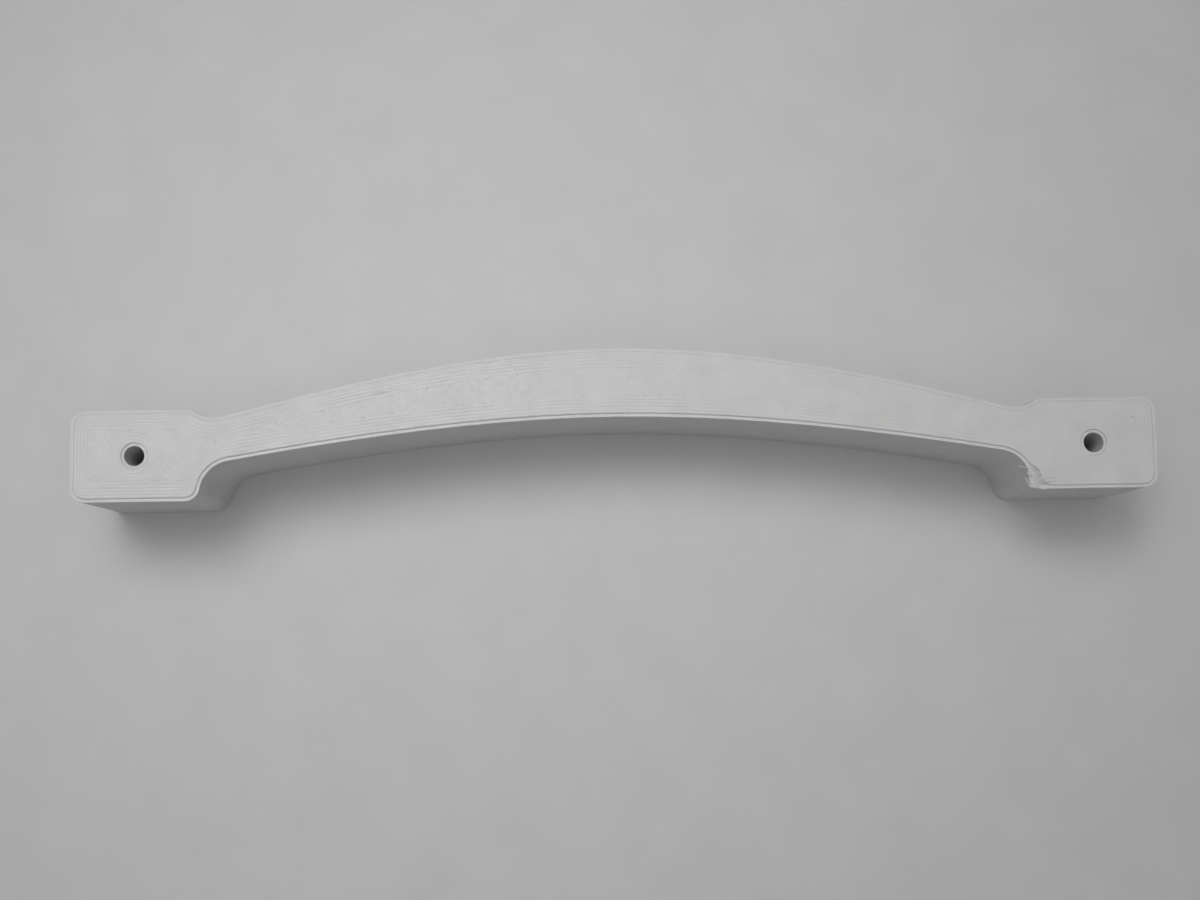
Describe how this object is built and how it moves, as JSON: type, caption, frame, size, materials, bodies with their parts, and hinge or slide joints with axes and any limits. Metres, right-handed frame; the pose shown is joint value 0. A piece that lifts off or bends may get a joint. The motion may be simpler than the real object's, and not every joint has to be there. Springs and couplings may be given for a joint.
{
  "type": "bridge pull handle",
  "caption": "Low arched bar handle printed in one piece, with a rounded screw pad at each end and a screw hole straight through each pad.",
  "frame": {"origin": "on the back face, midway between the two screw holes", "axes": "+X along the handle, +Y towards the outside of the bow, +Z from the back face to the front face, along the screw holes"},
  "size_m": [0.145, 0.0198, 0.02],
  "materials": {
    "printed_plastic": "off-white printed plastic, fine satin print lines"
  },
  "bodies": {
    "root": {"handle": "printed_plastic"}
  },
  "joints": []
}
